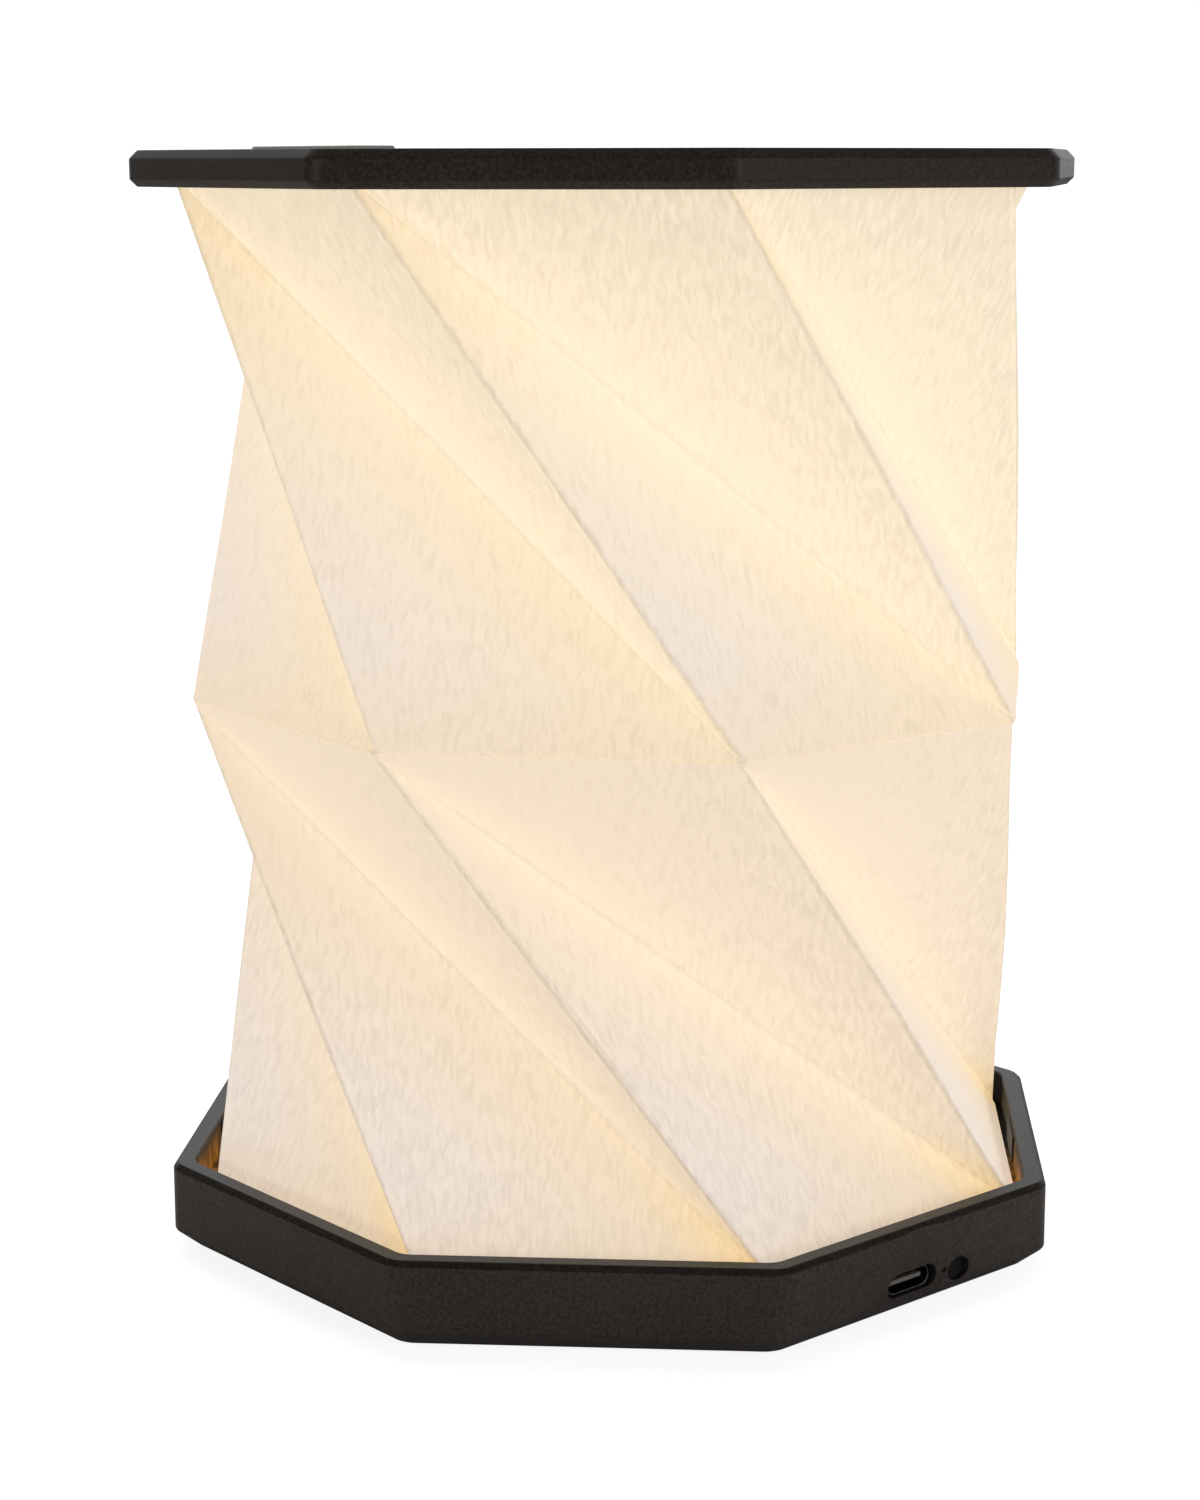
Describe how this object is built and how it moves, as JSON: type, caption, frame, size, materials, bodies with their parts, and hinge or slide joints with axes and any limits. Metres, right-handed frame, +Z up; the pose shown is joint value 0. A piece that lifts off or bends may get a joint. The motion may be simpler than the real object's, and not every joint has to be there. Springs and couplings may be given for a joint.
{
  "type": "collapsible lantern",
  "caption": "Octagonal table lantern whose twist-fold paper shade collapses flat between a black base tray and a flat lid; charged through a USB-C port.",
  "frame": {"origin": "centre of the footprint, on the surface the feet stand on", "axes": "+Z up; the base flats lie across X and Y; the front is the -Y side and the port side faces +X -Y"},
  "size_m": [0.1412, 0.1412, 0.1671],
  "materials": {
    "housing": "matte moulded black, fine grain",
    "button": "matte black",
    "switch": "black",
    "rubber_feet": "matte",
    "screws": "zinc plated",
    "battery_foil": "laminated foil",
    "foam_tape": "foam",
    "nickel": "nickel",
    "circuit_board": "green solder mask",
    "chips": "moulded",
    "port_steel": "drawn steel",
    "port_plastic": "moulded",
    "led_body": "phosphor",
    "clear_pipe": "clear",
    "connector": "moulded",
    "spreader": "satin",
    "lamp_board": "white solder mask",
    "diffuser": "frosted",
    "clamp": "moulded white",
    "shade_paper": "fibrous paper",
    "inner_plate": "moulded white",
    "reflector": "white film",
    "magnet": "black coated",
    "plate_metal": "satin"
  },
  "bodies": {
    "base": {"base_clamp": "clamp", "base_clamp_screws": "screws", "base_magnet_back": "magnet", "base_magnet_front": "magnet", "base_magnet_left": "magnet", "base_magnet_right": "magnet", "base_shell": "housing", "battery": "battery_foil", "battery_pad": "foam_tape", "battery_tabs": "nickel", "board_chips": "chips", "board_screws": "screws", "bottom_cover": "housing", "cover_screws": "screws", "diffuser": "diffuser", "foot_back": "rubber_feet", "foot_front": "rubber_feet", "foot_left": "rubber_feet", "foot_right": "rubber_feet", "heat_spreader": "spreader", "lamp_board": "lamp_board", "lamp_connector": "connector", "lamp_leds": "led_body", "lamp_screws": "screws", "light_pipe": "clear_pipe", "main_board": "circuit_board", "status_light": "led_body", "switch_body": "switch", "usb_c_shell": "port_steel", "usb_c_tongue": "port_plastic"},
    "lower_shade": {"shade_lower": "shade_paper"},
    "middle_fold": {"shade_mid_fold": "shade_paper"},
    "upper_shade": {"shade_upper": "shade_paper"},
    "lid": {"lid_shell": "housing", "lid_inner_plate": "inner_plate", "top_reflector": "reflector", "lid_clamp": "clamp", "lid_clamp_screws": "screws", "lid_plate": "plate_metal", "lid_magnet_back": "magnet", "lid_magnet_front": "magnet", "lid_magnet_left": "magnet", "lid_magnet_right": "magnet"},
    "power_button": {"power_button": "button", "switch_plunger": "switch"}
  },
  "joints": [
    {"name": "lower_twist", "type": "hinge", "parent": "base", "child": "lower_shade", "pos_m": [0, 0, 0.0086], "axis": [0, 0, 1], "range_deg": [-40.41, 0]},
    {"name": "lower_drop", "type": "slide", "parent": "lower_shade", "child": "middle_fold", "axis": [0, 0, 1], "range_m": [-0.07229, 0], "deforming": ["shade_lower"]},
    {"name": "upper_twist", "type": "hinge", "parent": "middle_fold", "child": "upper_shade", "pos_m": [0, 0, 0.0854], "axis": [0, 0, 1], "range_deg": [-42.41, 0]},
    {"name": "upper_drop", "type": "slide", "parent": "upper_shade", "child": "lid", "axis": [0, 0, 1], "range_m": [-0.07501, 0], "deforming": ["shade_upper"]},
    {"name": "button_press", "type": "slide", "parent": "base", "child": "power_button", "axis": [-0.7071, 0.7071, 0], "range_m": [0, 0.0005], "stiffness_N_per_m": 1000, "springref_m": -0.0005}
  ],
  "couplings": [
    {"joint": "lower_twist", "follows": "lower_drop", "rad_per_m": 9.7538},
    {"joint": "upper_twist", "follows": "upper_drop", "rad_per_m": 9.8657}
  ]
}
